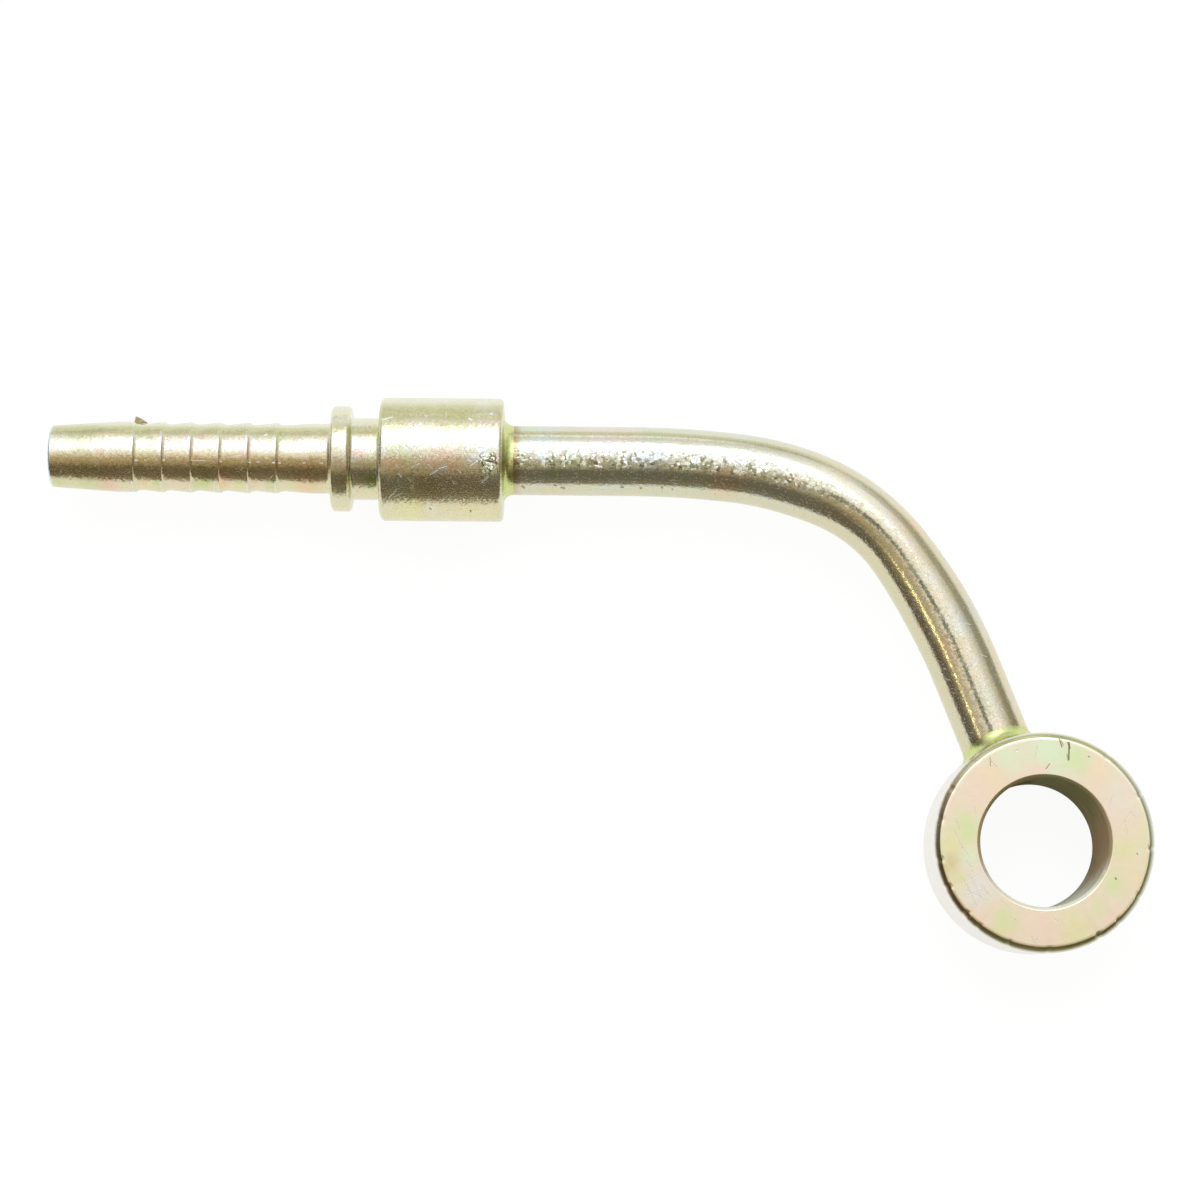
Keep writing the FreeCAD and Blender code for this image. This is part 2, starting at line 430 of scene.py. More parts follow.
off_mark = math_node(mark_group, "DIVIDE", off_mark, given.outputs["Width"])
feed(mark_group, made.inputs["Mask"], shade_of(mark_group, off_mark, 0.6, 0.35))

# One stain seen from above: a round patch with a ragged edge
stain_group, given, made = new_group(
    "stain", [("Place", "vector"), ("Centre", "vector"), ("Radius", "value")], [("Mask", "value")],
)
ragged = cloud(stain_group, given.outputs["Place"], 450.0, 4.0, 0.68).node.outputs["Color"]
ragged = vector_node(stain_group, "SUBTRACT", ragged, (0.5, 0.5, 0.5)).outputs["Vector"]
ragged = vector_node(stain_group, "SCALE", ragged)
feed(stain_group, ragged.inputs["Scale"], product(stain_group, given.outputs["Radius"], 1.8))
moved = vector_node(stain_group, "ADD", given.outputs["Place"], ragged.outputs["Vector"]).outputs["Vector"]
flat_place = vector_node(stain_group, "MULTIPLY", moved, (1, 1, 0)).outputs["Vector"]
off_stain = vector_node(stain_group, "DISTANCE", flat_place, given.outputs["Centre"]).outputs["Value"]
off_stain = math_node(stain_group, "DIVIDE", off_stain, given.outputs["Radius"])
feed(stain_group, made.inputs["Mask"], shade_of(stain_group, off_stain, 1.55, 0.0))


def stained(tree, where, facing_up, film, stains):
    """The film with stains on the upper side: (x, y, radius, colour, share), in millimetres."""
    for x, y, radius, colour, share in stains:
        stain = place_group(tree, stain_group, Place=where, Centre=(x * MM, y * MM, 0), Radius=radius * MM)
        film = tint(tree, film, product(tree, stain.outputs["Mask"], facing_up), share, colour)
    return film


def nicked(tree, where, surface, nicks):
    """The surface's (height, film, roughness) with nicks: (cells per metre, length, width)."""
    height, film, rough = surface
    for per_metre, length, width in nicks:
        mask = place_group(
            tree, nick_group, Place=where, Cells_per_metre=per_metre, Length=length, Width=width,
        ).outputs["Mask"]
        height = math_node(tree, "SUBTRACT", height, product(tree, mask, 0.8))
        film = tint(tree, film, mask, 0.3, (0.86, 0.82, 0.66))
        rough = math_node(tree, "MULTIPLY_ADD", mask, 0.2, rough)
    return height, film, rough


def marked(tree, where, facing_up, surface, marks, relief):
    """The surface with single marks on its upper side: (x, y, x, y, width, tone), in millimetres.

    A tone above 0.5 is a pale scratch, and on the barbs also a painted highlight; one below it is a dark pit.
    """
    height, film, rough = surface
    depth_share, pale, dark = 0.16, (0.92, 0.91, 0.86), (0.16, 0.17, 0.08)
    for x0, y0, x1, y1, width, tone in marks:
        ends = {"From": (x0 * MM, y0 * MM, 0), "To": (x1 * MM, y1 * MM, 0)}
        mark = place_group(tree, mark_group, Place=where, Width=width * MM, **ends)
        mask = product(tree, mark.outputs["Mask"], facing_up)
        height = math_node(tree, "MULTIPLY_ADD", mask, -depth_share * width * MM / relief, height)
        film = tint(tree, film, mask, abs(tone - 0.5) * 2, pale if tone > 0.5 else dark)
        if tone > 0.5:
            rough = math_node(tree, "MULTIPLY_ADD", mask, 0.12, rough)
    return height, film, rough


def plating(name, place, colour_of, yellow, pink, green, pale, shares, patches, roughness, grain, relief,
            nicks=(), facets=(3000.0, 0.0), stains=(), marks=()):
    """The yellow passivated zinc that all the pieces wear.

    colour_of changes the film by place, and says how much rougher, duller and more scuffed it is
    there. patches counts the film's clouds to the metre, grain stretches the fine relief, relief
    is its depth in metres, and facets is (cells per metre, slope).
    """
    material, tree, output = new_material(name)
    metal = tree.nodes.new("ShaderNodeBsdfPrincipled")
    metal.inputs["Specular IOR Level"].default_value = 0.0
    where = place(tree)
    film = place_group(
        tree, film_group, Place=where, Patches_per_metre=patches, Yellow=yellow, Pink=pink, Green=green,
        Pale=pale, Pink_share=shares[0], Green_share=shares[1], Pale_share=shares[2],
    ).outputs["Colour"]
    facing_up = math_node(tree, "GREATER_THAN", axes_of(tree, where)[2], 0.0)
    film = stained(tree, where, facing_up, film, stains)
    film, extra_rough, matt, scuffed = colour_of(tree, where, film)
    feed(tree, metal.inputs["Metallic"], math_node(tree, "SUBTRACT", 1.0, matt))
    height = cloud(tree, vector_node(tree, "MULTIPLY", where, grain).outputs["Vector"], 1.0, 3.0, 0.6)
    facet = place_group(tree, facet_group, Place=where, Cells_per_metre=facets[0]).outputs["Height"]
    facet = product(tree, facet, facets[1] / (facets[0] * relief))
    height = math_node(tree, "ADD", height, product(tree, facet, scuffed))
    dull = tree.nodes.new("ShaderNodeMapRange")
    feed(tree, dull.inputs["Value"], cloud(tree, where, 900.0, 3.0, 0.6))
    dull_range = {"From Min": 0.3, "From Max": 0.7, "To Min": roughness[0], "To Max": roughness[1]}
    for label, value in dull_range.items():
        feed(tree, dull.inputs[label], value)
    rough = math_node(tree, "ADD", dull.outputs["Result"], extra_rough)
    surface = nicked(tree, where, (height, film, rough), nicks)
    height, film, rough = marked(tree, where, facing_up, surface, marks, relief)
    bump = tree.nodes.new("ShaderNodeBump")
    bump.inputs["Strength"].default_value = 1.0
    bump.inputs["Distance"].default_value = relief
    tree.links.new(height, bump.inputs["Height"])
    tree.links.new(film, metal.inputs["Base Color"])
    tree.links.new(rough, metal.inputs["Roughness"])
    tree.links.new(bump.outputs["Normal"], metal.inputs["Normal"])
    tree.links.new(metal.outputs[0], output.inputs["Surface"])
    return material


def object_place(tree):
    """The piece's own coordinates, in metres."""
    return tree.nodes.new("ShaderNodeTexCoord").outputs["Object"]


def tail_radius(tree, place_x):
    """The radius in metres: about that of the barbs ahead of the hub, and the hub's own there."""
    in_hub = math_node(tree, "GREATER_THAN", place_x, (TIP_X + hub_front) * MM)
    return math_node(tree, "MULTIPLY_ADD", in_hub, (hub_radius - 5.0) * MM, 5.0 * MM)


def tail_colour(tree, where, film):
    """Painted highlights on the middle barbs' crests, a paler tip edge, painted reflection bands along the
    sides by how they face the room, and a scar on the hub.
    """
    place_x, place_y, place_z = axes_of(tree, where)
    along = math_node(tree, "SUBTRACT", place_x, TIP_X * MM)
    # Painted highlight: a pale bluish line on the crest of each middle barb
    phase = math_node(tree, "MULTIPLY_ADD", along, 1 / (barb_pitch * MM), 100.02 - first_crest / barb_pitch)
    land = shade_of(tree, math_node(tree, "FRACT", phase), 0.92, 0.95)
    off_middle = math_node(tree, "ABSOLUTE", math_node(tree, "SUBTRACT", along, 22.5 * MM))
    crest_highlight = product(tree, land, math_node(tree, "LESS_THAN", off_middle, 11.0 * MM))
    film = tint(tree, film, crest_highlight, 0.6, (0.80, 0.86, 0.88))
    off_axis = math_node(tree, "SUBTRACT", place_y, HOSE_AXIS_Y * MM)
    off_axis = math_node(tree, "DIVIDE", off_axis, tail_radius(tree, place_x))
    # Painted reflections by side: the top side painted paler, where it mirrors the white table beyond +Y, and
    # the bottom side yellower, where it mirrors the dimmer table
    film = tint(tree, film, shade_of(tree, off_axis, 0.55, 0.95), 0.6, (0.81, 0.83, 0.64))
    film = tint(tree, film, shade_of(tree, off_axis, -0.60, -0.85), 0.45, (0.70, 0.66, 0.36))
    # Painted reflection: a golden band along the lower middle of the barbs, where they mirror the tan room
    golden_reflection_band = product(tree, shade_of(tree, off_axis, 0.15, -0.20), shade_of(tree, off_axis, -0.85, -0.60))
    golden_reflection_band = product(tree, golden_reflection_band, math_node(tree, "LESS_THAN", along, (collar_front + 0.4) * MM))
    film = tint(tree, film, golden_reflection_band, 0.7, (0.76, 0.61, 0.35))
    # Painted reflection: an olive band above the highlight, where the metal mirrors a dim strip of the room
    painted_olive = product(tree, shade_of(tree, off_axis, 0.48, 0.60), shade_of(tree, off_axis, 0.88, 0.74))
    film = tint(tree, film, painted_olive, 0.6, (0.56, 0.55, 0.26))
    film = tint(tree, film, shade_of(tree, along, 0.55 * MM, 0.25 * MM), 0.9, (0.78, 0.84, 0.86))
    scar_centre, scar_edge, scar_core = (-78.7 * MM, 53.1 * MM, 0), 1.9 * MM, 0.8 * MM
    from_scar = vector_node(tree, "MULTIPLY", where, (1, 1, 0)).outputs["Vector"]
    from_scar = vector_node(tree, "DISTANCE", from_scar, scar_centre).outputs["Value"]
    facing_up = math_node(tree, "GREATER_THAN", place_z, 0.0)
    scar = product(tree, shade_of(tree, from_scar, scar_edge, scar_core), facing_up)
    return film, 0.0, 0.0, math_node(tree, "MULTIPLY_ADD", scar, 6.0, 1.0)


tail_plating = plating(
    "tail_plating", object_place, tail_colour, yellow=(0.77, 0.72, 0.53, 1.0), pink=(0.80, 0.64, 0.52, 1.0),
    green=(0.64, 0.70, 0.44, 1.0), pale=(0.77, 0.80, 0.70, 1.0), shares=(0.7, 0.7, 0.5), patches=260.0,
    roughness=(0.16, 0.25), grain=(5200.0, 2000.0, 2000.0), relief=0.000030,
    nicks=((330.0, 0.38, 0.035), (800.0, 0.30, 0.06)), facets=(3300.0, 0.10),
    stains=(
        (-128.2, 50.6, 0.9, (0.86, 0.62, 0.40), 0.8), (-126.5, 50.6, 0.8, (0.60, 0.70, 0.34), 0.9),
        (-124.0, 50.5, 1.1, (0.80, 0.66, 0.54), 0.9), (-120.0, 50.6, 1.2, (0.58, 0.68, 0.32), 0.9),
        (-117.2, 50.7, 0.9, (0.88, 0.56, 0.38), 0.9), (-114.7, 50.6, 0.9, (0.74, 0.74, 0.36), 0.9),
        (-112.7, 50.5, 0.8, (0.86, 0.62, 0.52), 0.9), (-109.9, 50.6, 0.9, (0.58, 0.68, 0.34), 0.9),
        (-107.0, 50.6, 0.9, (0.76, 0.74, 0.40), 0.8), (-133.9, 50.4, 1.9, (0.90, 0.50, 0.50), 1.0),
        (-136.2, 51.4, 2.6, (0.50, 0.60, 0.28), 0.7), (-137.7, 57.6, 2.6, (0.56, 0.60, 0.32), 0.7),
        (-116.8, 51.6, 1.3, (0.80, 0.48, 0.34), 0.9), (-113.7, 55.7, 1.8, (0.88, 0.62, 0.54), 0.8),
        (-104.8, 51.4, 2.0, (0.72, 0.44, 0.24), 0.8), (-119.9, 51.6, 1.3, (0.42, 0.55, 0.20), 0.9),
        (-140.8, 50.7, 1.5, (0.52, 0.62, 0.36), 0.8), (-105.4, 50.5, 1.3, (0.86, 0.60, 0.42), 0.9),
        (-109.0, 57.0, 1.8, (0.60, 0.68, 0.36), 0.7), (-97.5, 55.4, 1.2, (0.88, 0.56, 0.52), 0.9),
        (-95.6, 50.9, 0.9, (0.32, 0.52, 0.18), 0.9), (-93.0, 58.5, 3.0, (0.62, 0.66, 0.32), 0.6),
        (-84.0, 58.8, 3.5, (0.64, 0.66, 0.34), 0.6), (-85.0, 53.0, 2.6, (0.80, 0.58, 0.42), 0.8),
        (-92.0, 53.0, 1.8, (0.78, 0.62, 0.40), 0.7), (-85.2, 52.2, 0.9, (0.66, 0.74, 0.82), 0.9),
        (-86.6, 51.6, 0.6, (0.66, 0.74, 0.82), 0.8), (-80.6, 53.3, 0.9, (0.86, 0.88, 0.90), 0.9),
        (-79.7, 54.6, 0.7, (0.86, 0.88, 0.90), 0.9), (-88.0, 49.0, 3.0, (0.62, 0.52, 0.26), 0.6),
        (-90.0, 47.2, 2.6, (0.80, 0.78, 0.42), 0.8), (-81.0, 47.6, 2.6, (0.82, 0.74, 0.44), 0.8),
        (-86.9, 47.0, 1.0, (0.80, 0.80, 0.74), 0.8), (-79.5, 61.0, 1.6, (0.84, 0.86, 0.86), 0.8),
    ),
    marks=(
        (-90.9, 55.5, -89.9, 54.7, 0.22, 1.0), (-90.4, 55.7, -89.7, 54.7, 0.18, 0.9),
        (-92.2, 55.1, -91.5, 54.3, 0.2, 0.95), (-93.5, 59.4, -92.5, 59.6, 0.2, 1.0),
        (-94.1, 59.3, -93.4, 59.3, 0.2, 1.0), (-81.3, 55.6, -80.4, 55.8, 0.14, 0.8),
        (-82.1, 54.9, -81.3, 55.6, 0.16, 0.9), (-86.9, 51.4, -86.0, 52.0, 0.2, 0.75),
        (-85.8, 52.2, -84.6, 52.6, 0.16, 0.72), (-81.3, 52.7, -80.3, 53.4, 0.2, 0.8),
        (-79.9, 53.7, -79.6, 54.6, 0.18, 0.85), (-89.4, 51.3, -89.5, 49.2, 0.12, 0.72),
        (-92.9, 48.2, -91.9, 49.1, 0.16, 0.75), (-92.2, 48.3, -91.1, 48.8, 0.14, 0.72),
        (-79.6, 50.4, -78.8, 51.1, 0.2, 0.85), (-87.2, 47.0, -87.0, 46.9, 0.16, 0.1),
        (-81.4, 46.8, -81.35, 46.7, 0.2, 0.0), (-89.7, 52.2, -89.0, 52.8, 0.12, 0.9),
        (-91.5, 51.4, -91.1, 51.1, 0.16, 0.95), (-81.6, 59.5, -81.2, 59.3, 0.3, 1.0),
        (-78.6, 60.3, -78.3, 60.2, 0.3, 1.0), (-85.0, 60.6, -84.9, 59.7, 0.12, 0.8),
        (-83.0, 52.0, -82.7, 51.7, 0.16, 1.0), (-91.9, 52.8, -91.6, 52.3, 0.12, 0.95),
        (-88.9, 52.7, -88.5, 52.9, 0.12, 0.95), (-86.3, 54.2, -85.9, 54.1, 0.14, 0.9),
        (-88.2, 54.6, -87.9, 54.2, 0.12, 0.9), (-87.2, 52.7, -86.7, 52.2, 0.12, 0.9),
        (-83.8, 50.3, -83.3, 50.1, 0.1, 0.75), (-78.8, 53.3, -78.3, 53.0, 0.35, 1.0),
        (-79.2, 52.7, -78.6, 52.5, 0.3, 1.0), (-79.0, 53.8, -77.9, 53.9, 0.12, 0.1),
        # The pale dots along y 53.4 to 53.7, from x -129.4 on, are painted highlights where a small lamp
        # glints beside each barb's crest
        (-79.2, 53.3, -78.0, 53.1, 0.2, 0.0), (-129.4, 53.6, -129.2, 53.6, 0.3, 1.0),
        (-128.1, 53.6, -127.9, 53.6, 0.16, 1.0), (-125.5, 53.7, -125.3, 53.7, 0.32, 1.0),
        (-121.4, 53.6, -119.4, 53.6, 0.12, 0.85), (-117.4, 53.6, -117.2, 53.6, 0.32, 1.0),
        (-113.3, 53.5, -113.1, 53.5, 0.3, 1.0), (-112.0, 53.5, -111.6, 53.5, 0.16, 0.95),
        (-109.7, 53.4, -109.5, 53.4, 0.26, 1.0), (-108.9, 53.4, -108.7, 53.4, 0.26, 1.0),
        (-105.3, 53.4, -105.1, 53.4, 0.2, 0.95), (-103.0, 53.4, -102.6, 53.4, 0.16, 0.95),
        (-79.5, 52.0, -79.3, 51.8, 0.3, 1.0), (-111.1, 57.3, -110.7, 57.5, 0.25, 1.0),
        (-87.9, 60.0, -87.7, 59.8, 0.14, 1.0),
    ),
)
hose_tail.data.materials.append(tail_plating)
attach(hose_tail, "root")
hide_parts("hose_tail")


# Burr: a sliver of steel that the turning tool raised on the first barb. It stands up on the
# side that faces +Y, and took the plating badly.

burr_foot, burr_length, burr_height, burr_thickness, burr_root = 11.6, 2.2, 0.72, 0.28, 0.15
burr_mesh = bmesh.new()
bmesh.ops.create_cone(
    burr_mesh, cap_ends=True, segments=12, radius1=0.5, radius2=0.08, depth=1.0,
    matrix=Matrix.Translation((0.0, 0.0, 0.5)),
)
bmesh.ops.subdivide_edges(burr_mesh, edges=burr_mesh.edges[:], cuts=3, use_grid_fill=True)
for vertex in burr_mesh.verts:
    along, across, above = vertex.co
    lean = -0.24 * above * above
    vertex.co = Vector((
        TIP_X + burr_foot + burr_length * (0.5 + along + lean),
        HOSE_AXIS_Y + crest - burr_root + (burr_height + burr_root) * above,
        2 * burr_thickness * across + 0.5 * above,
    )) * MM
smooth_outward(burr_mesh)
burr = new_object(burr_mesh, "turning_burr")


def burr_colour(tree, where, film):
    """The film as it is, but duller than on the other pieces."""
    return film, 0.0, 0.55, 1.0


burr.data.materials.append(plating(
    "burr_plating", object_place, burr_colour, yellow=(0.52, 0.40, 0.26, 1.0), pink=(0.60, 0.42, 0.32, 1.0),
    green=(0.40, 0.38, 0.20, 1.0), pale=(0.70, 0.64, 0.52, 1.0), shares=(0.6, 0.6, 0.6), patches=900.0,
    roughness=(0.35, 0.50), grain=(3000.0, 3000.0, 3000.0), relief=0.00005,
))
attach(burr, "root")


# Tube: drawn steel, 10 mm across with a 1.5 mm wall, bent over a former. The former
# squashes it a little at the tightest place. Its ends sit in sockets in the hub and the eye.

TUBE_RADIUS = 5.0
TUBE_BORE = 3.5
EYE_HEADING = 112.0
seat_radius = 12.0
straight_at_eye = 26.414
run_at_hub = 18.4
bend_arcs = ((80.0, 14.0), (27.0, 31.0), (46.0, 17.0), (140.0, 6.0))
tight_middle, squash_reach = 24.0, 16.0
ring_step = 0.6


def heading_vector(degrees):
    """A level direction of length 1, turned so many degrees from +X."""
    return Vector((math.cos(math.radians(degrees)), math.sin(math.radians(degrees)), 0))


def tube_line():
    """Steps along the tube's centre line: (distance, point, heading), all in millimetres."""
    runs = [(None, straight_at_eye - seat_radius)]
    runs += [(radius, radius * math.radians(turn)) for radius, turn in bend_arcs]
    runs += [(None, run_at_hub + socket_depth)]
    here, heading, done = heading_vector(EYE_HEADING) * seat_radius, EYE_HEADING, 0.0
    rings = [(done, here.copy(), heading)]
    for radius, length in runs:
        count = round(length / ring_step)
        for _ in range(count):
            step = length / count
            turn = math.degrees(step / radius) if radius else 0.0
            chord = 2 * radius * math.sin(math.radians(turn / 2)) if radius else step
            here = here + heading_vector(heading + turn / 2) * chord
            heading += turn
            done += step
            rings.append((done, here.copy(), heading))
    return rings


def next_ring(bm, edges):
    """Extrudes a ring of edges where it lies; returns the new ring."""
    made = bmesh.ops.extrude_edge_only(bm, edges=edges)["geom"]
    return [item for item in made if isinstance(item, bmesh.types.BMEdge) and len(item.link_faces) == 1]


def tube_wall(bm, radius, around):
    """One skin of the tube, extruded ring by ring; returns its first and last rings of edges."""
    unrolled = bm.verts.layers.float_vector["straightened"]
    rings = tube_line()
    made = bmesh.ops.create_circle(bm, cap_ends=False, segments=around, radius=radius)
    for vertex in made["verts"]:
        vertex[unrolled] = Vector((0, vertex.co.x, vertex.co.y)) * MM
    edges = list({edge for vertex in made["verts"] for edge in vertex.link_edges})
    first = edges
    for index, (done, here, heading) in enumerate(rings):
        if index:
            edges = next_ring(bm, edges)
        left = heading_vector(heading + 90)
        nearness = max(0.0, 1 - abs(done - (straight_at_eye - seat_radius) - tight_middle) / squash_reach)
        squash = nearness * nearness * (3 - 2 * nearness)
        for vertex in {vertex for edge in edges for vertex in edge.verts}:
            across, above = vertex[unrolled].y, vertex[unrolled].z
            place = here * MM + left * across * (1 - 0.07 * squash)
            vertex.co = place + Vector((0, 0, above * (1 + 0.03 * squash)))
            vertex[unrolled] = Vector((done * MM, across, above))
    return first, edges


tube_mesh = bmesh.new()
tube_mesh.verts.layers.float_vector.new("straightened")
outer_first, outer_last = tube_wall(tube_mesh, TUBE_RADIUS, 128)
inner_first, inner_last = tube_wall(tube_mesh, TUBE_BORE, 64)
for ends in (outer_first + inner_first, outer_last + inner_last):
    bmesh.ops.bridge_loops(tube_mesh, edges=ends)
smooth_outward(tube_mesh)
tube = new_object(tube_mesh, "drawn_tube")


def straightened_place(tree):
    """Where a point would be on the tube before it was bent, so that draw lines follow it."""
    stored = tree.nodes.new("ShaderNodeAttribute")
    stored.attribute_name = "straightened"
    return stored.outputs["Vector"]


def tube_colour(tree, where, film):
    """Browner towards the eye and at the hub's braze, with painted reflections and a painted highlight along
    it.

    A ragged dark line on the crown of the leg is the dark lens overhead mirrored, a bright line inside the
    bend is the left lamp's highlight, and olive bands outside the bend and above the straight run's highlight
    mirror the dim room, all painted. The grazing side towards the inside of the bend is painted yellower, as
    a reflection of the dim table. The crown of the straight run is scuffed.
    """
    done, across, above = axes_of(tree, where)
    round_tube = math_node(tree, "DIVIDE", across, TUBE_RADIUS * MM)
    on_top = math_node(tree, "GREATER_THAN", above, 0.0)
    thick = shade_of(tree, done, 66.0 * MM, 40.0 * MM)
    thick = product(tree, thick, cloud(tree, where, 260.0, 2.0, 0.5))
    film = tint(tree, film, thick, 1.1, (0.78, 0.66, 0.44))
    ragged = math_node(tree, "SUBTRACT", cloud(tree, where, 2200.0, 3.0, 0.7), 0.5)

    def line(middle, width, waver, start, end):
        """A mask along the tube: middle and width are shares of its radius towards the inside."""
        off = math_node(tree, "MULTIPLY_ADD", ragged, waver, math_node(tree, "SUBTRACT", round_tube, middle))
        near = shade_of(tree, math_node(tree, "ABSOLUTE", off), width, width * 0.4)
        begun = shade_of(tree, done, start * MM, (start + 6) * MM)
        ends = product(tree, begun, shade_of(tree, done, end * MM, (end - 8) * MM))
        return product(tree, product(tree, near, ends), on_top)

    broken = shade_of(tree, cloud(tree, where, 500.0, 2.0, 0.5), 0.40, 0.52)
    broken = math_node(tree, "MULTIPLY_ADD", broken, 0.3, 0.55)
    # Painted reflection: a ragged dark line on the crown of the leg, where the dark lens overhead is mirrored
    dark = product(tree, line(0.13, 0.075, 0.22, -6.0, 52.0), broken)
    film = tint(tree, film, dark, 1.0, (0.17, 0.18, 0.12))
    # Painted highlight: a bright yellow line inside the bend, where the left lamp shows
    lamp_highlight_line = line(0.47, 0.04, 0.05, 1.0, 46.0)
    # Painted reflections: olive bands where the metal mirrors the dim room, outside the bend on the leg and
    # above the highlight on the straight run
    dark_reflection_on_leg = line(-0.60, 0.17, 0.10, -2.0, 50.0)
    dark_reflection_on_run = line(-0.69, 0.10, 0.08, 46.0, 102.0)
    by_the_braze = shade_of(tree, done, 92.4 * MM, 93.6 * MM)
    # Painted reflection: the grazing side towards the inside of the bend, the lower side on the straight run,
    # painted yellower and darker where it mirrors the dim table
    inside = shade_of(tree, round_tube, 0.70, 0.90)
    # The painted highlight and painted dark reflections, then the braze's heat tint and the painted yellower
    # inner side
    film = tint(tree, film, lamp_highlight_line, 1.0, (0.92, 0.86, 0.52))
    film = tint(tree, film, dark_reflection_on_leg, 0.6, (0.38, 0.35, 0.20))
    film = tint(tree, film, dark_reflection_on_run, 0.6, (0.50, 0.49, 0.22))
    film = tint(tree, film, by_the_braze, 0.75, (0.46, 0.32, 0.15))
    film = tint(tree, film, inside, 0.6, (0.68, 0.65, 0.42))
    straight_run = shade_of(tree, done, 40.0 * MM, 62.0 * MM)
    off_crown = math_node(tree, "ABSOLUTE", math_node(tree, "SUBTRACT", round_tube, 0.06))
    on_crown = product(tree, shade_of(tree, off_crown, 0.32, 0.18), on_top)
    patchy = shade_of(tree, cloud(tree, where, 700.0, 3.0, 0.6), 0.30, 0.60)
    scuffed = product(tree, on_crown, math_node(tree, "MULTIPLY_ADD", straight_run, 0.85, 0.15))
    scuffed = math_node(tree, "ADD", product(tree, scuffed, patchy), 0.06)
    return film, 0.0, 0.07, scuffed


tube.data.materials.append(plating(
    "tube_plating", straightened_place, tube_colour,
    yellow=(0.72, 0.73, 0.58, 1.0), pink=(0.78, 0.66, 0.54, 1.0), green=(0.62, 0.71, 0.50, 1.0),
    pale=(0.70, 0.77, 0.76, 1.0), shares=(0.5, 0.6, 0.6), patches=230.0,
    roughness=(0.12, 0.20), grain=(1500.0, 2000.0, 2000.0), relief=0.000030,
    nicks=((450.0, 0.34, 0.05), (1100.0, 0.34, 0.10)), facets=(2400.0, 0.55),
    stains=(
        (63.4, 4.0, 2.4, (0.84, 0.62, 0.44), 0.8), (80.7, -2.75, 2.0, (0.74, 0.80, 0.84), 0.7),
        (80.5, -4.0, 4.5, (0.82, 0.70, 0.60), 0.7), (74.3, 0.3, 2.4, (0.64, 0.72, 0.74), 0.7),
        (5.2, -2.9, 1.0, (0.42, 0.30, 0.14), 0.9), (4.2, 2.8, 1.0, (0.36, 0.28, 0.12), 0.9),
        # The stain at (5.2, -0.7) is a painted highlight: pinkish-white glints just before the eye's braze
        (5.2, -0.7, 1.9, (0.92, 0.74, 0.60), 0.8), (95.8, 1.6, 1.5, (0.56, 0.38, 0.18), 0.9),
        (22.0, -3.0, 2.2, (0.66, 0.70, 0.72), 0.6), (32.0, 4.2, 2.6, (0.70, 0.72, 0.44), 0.7),
        (36.0, -3.0, 2.6, (0.84, 0.66, 0.48), 0.7), (18.0, 1.5, 2.0, (0.84, 0.62, 0.48), 0.7),
    ),
    marks=(
        (87.9, 3.9, 87.6, 4.0, 0.2, 0.25), (86.9, 4.2, 86.4, 4.3, 0.22, 0.2),
        (78.3, 4.1, 78.0, 4.1, 0.25, 0.2), (75.5, 4.2, 75.3, 4.2, 0.22, 0.2),
        (72.4, 4.0, 72.2, 4.1, 0.2, 0.2), (70.8, 4.2, 70.7, 4.2, 0.2, 0.25),
        (92.5, 4.1, 92.2, 4.3, 0.25, 0.2), (21.0, -1.9, 20.4, -2.6, 0.14, 0.95),
        (24.0, 0.3, 23.4, 0.7, 0.14, 0.95), (8.5, -1.6, 7.6, -2.0, 0.2, 0.95),
        (12.6, 2.0, 11.6, 2.3, 0.14, 0.9), (16.0, -2.2, 15.4, -2.9, 0.14, 0.95),
    ),
))
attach(tube, "root")
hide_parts("bent_tube")


# Braze at the hub: a ring of filler metal that has run round the tube and stayed hollow
# faced. It is plated over with the rest, and stands up 1.5 mm at most.

hub_braze_radius = 1.5
hub_braze_corners = [(0.0, TUBE_RADIUS, 0.0), (0.0, TUBE_RADIUS + hub_braze_radius, 0.0)]
arc_steps = 8
for step in range(1, arc_steps):
    angle = math.radians(90 * step / arc_steps)
    hub_braze_corners.append((
        hub_braze_radius * (1 - math.cos(angle)),
        TUBE_RADIUS + hub_braze_radius * (1 - math.sin(angle)), 0.0,
    ))
hub_braze_corners.append((hub_braze_radius, TUBE_RADIUS, 0.0))


def sharpen_folds(bm):
    """Shades the edges that fold by more than 50 degrees as sharp."""
    for edge in bm.edges:
        edge.smooth = edge.calc_face_angle(0.0) < math.radians(50)


hub_braze_mesh = turned(hub_braze_corners, 128)
sharpen_folds(hub_braze_mesh)
bmesh.ops.translate(
    hub_braze_mesh, verts=hub_braze_mesh.verts[:], vec=(HUB_FACE_X * MM, HOSE_AXIS_Y * MM, 0),
)
hub_braze = new_object(hub_braze_mesh, "hub_braze_ring")


def plain_colour(tree, where, film):
    """The film as it is, with nothing changed by place."""
    return film, 0.0, 0.0, 1.0


braze_plating = plating(
    "braze_plating", object_place, plain_colour, yellow=(0.66, 0.72, 0.29, 1.0), pink=(0.62, 0.45, 0.26, 1.0),
    green=(0.50, 0.62, 0.26, 1.0), pale=(0.72, 0.76, 0.58, 1.0), shares=(0.5, 0.8, 0.4), patches=500.0,
    roughness=(0.22, 0.36), grain=(1500.0, 1500.0, 1500.0), relief=0.00005,
)
hub_braze.data.materials.append(braze_plating)
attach(hub_braze, "root")
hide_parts("hub_braze_fillet")


# Banjo eye: a ring turned from steel bar, faced and bored for an M18 hollow bolt, with a
# socket in its side for the tube. Its edges are chamfered and a little knocked about.

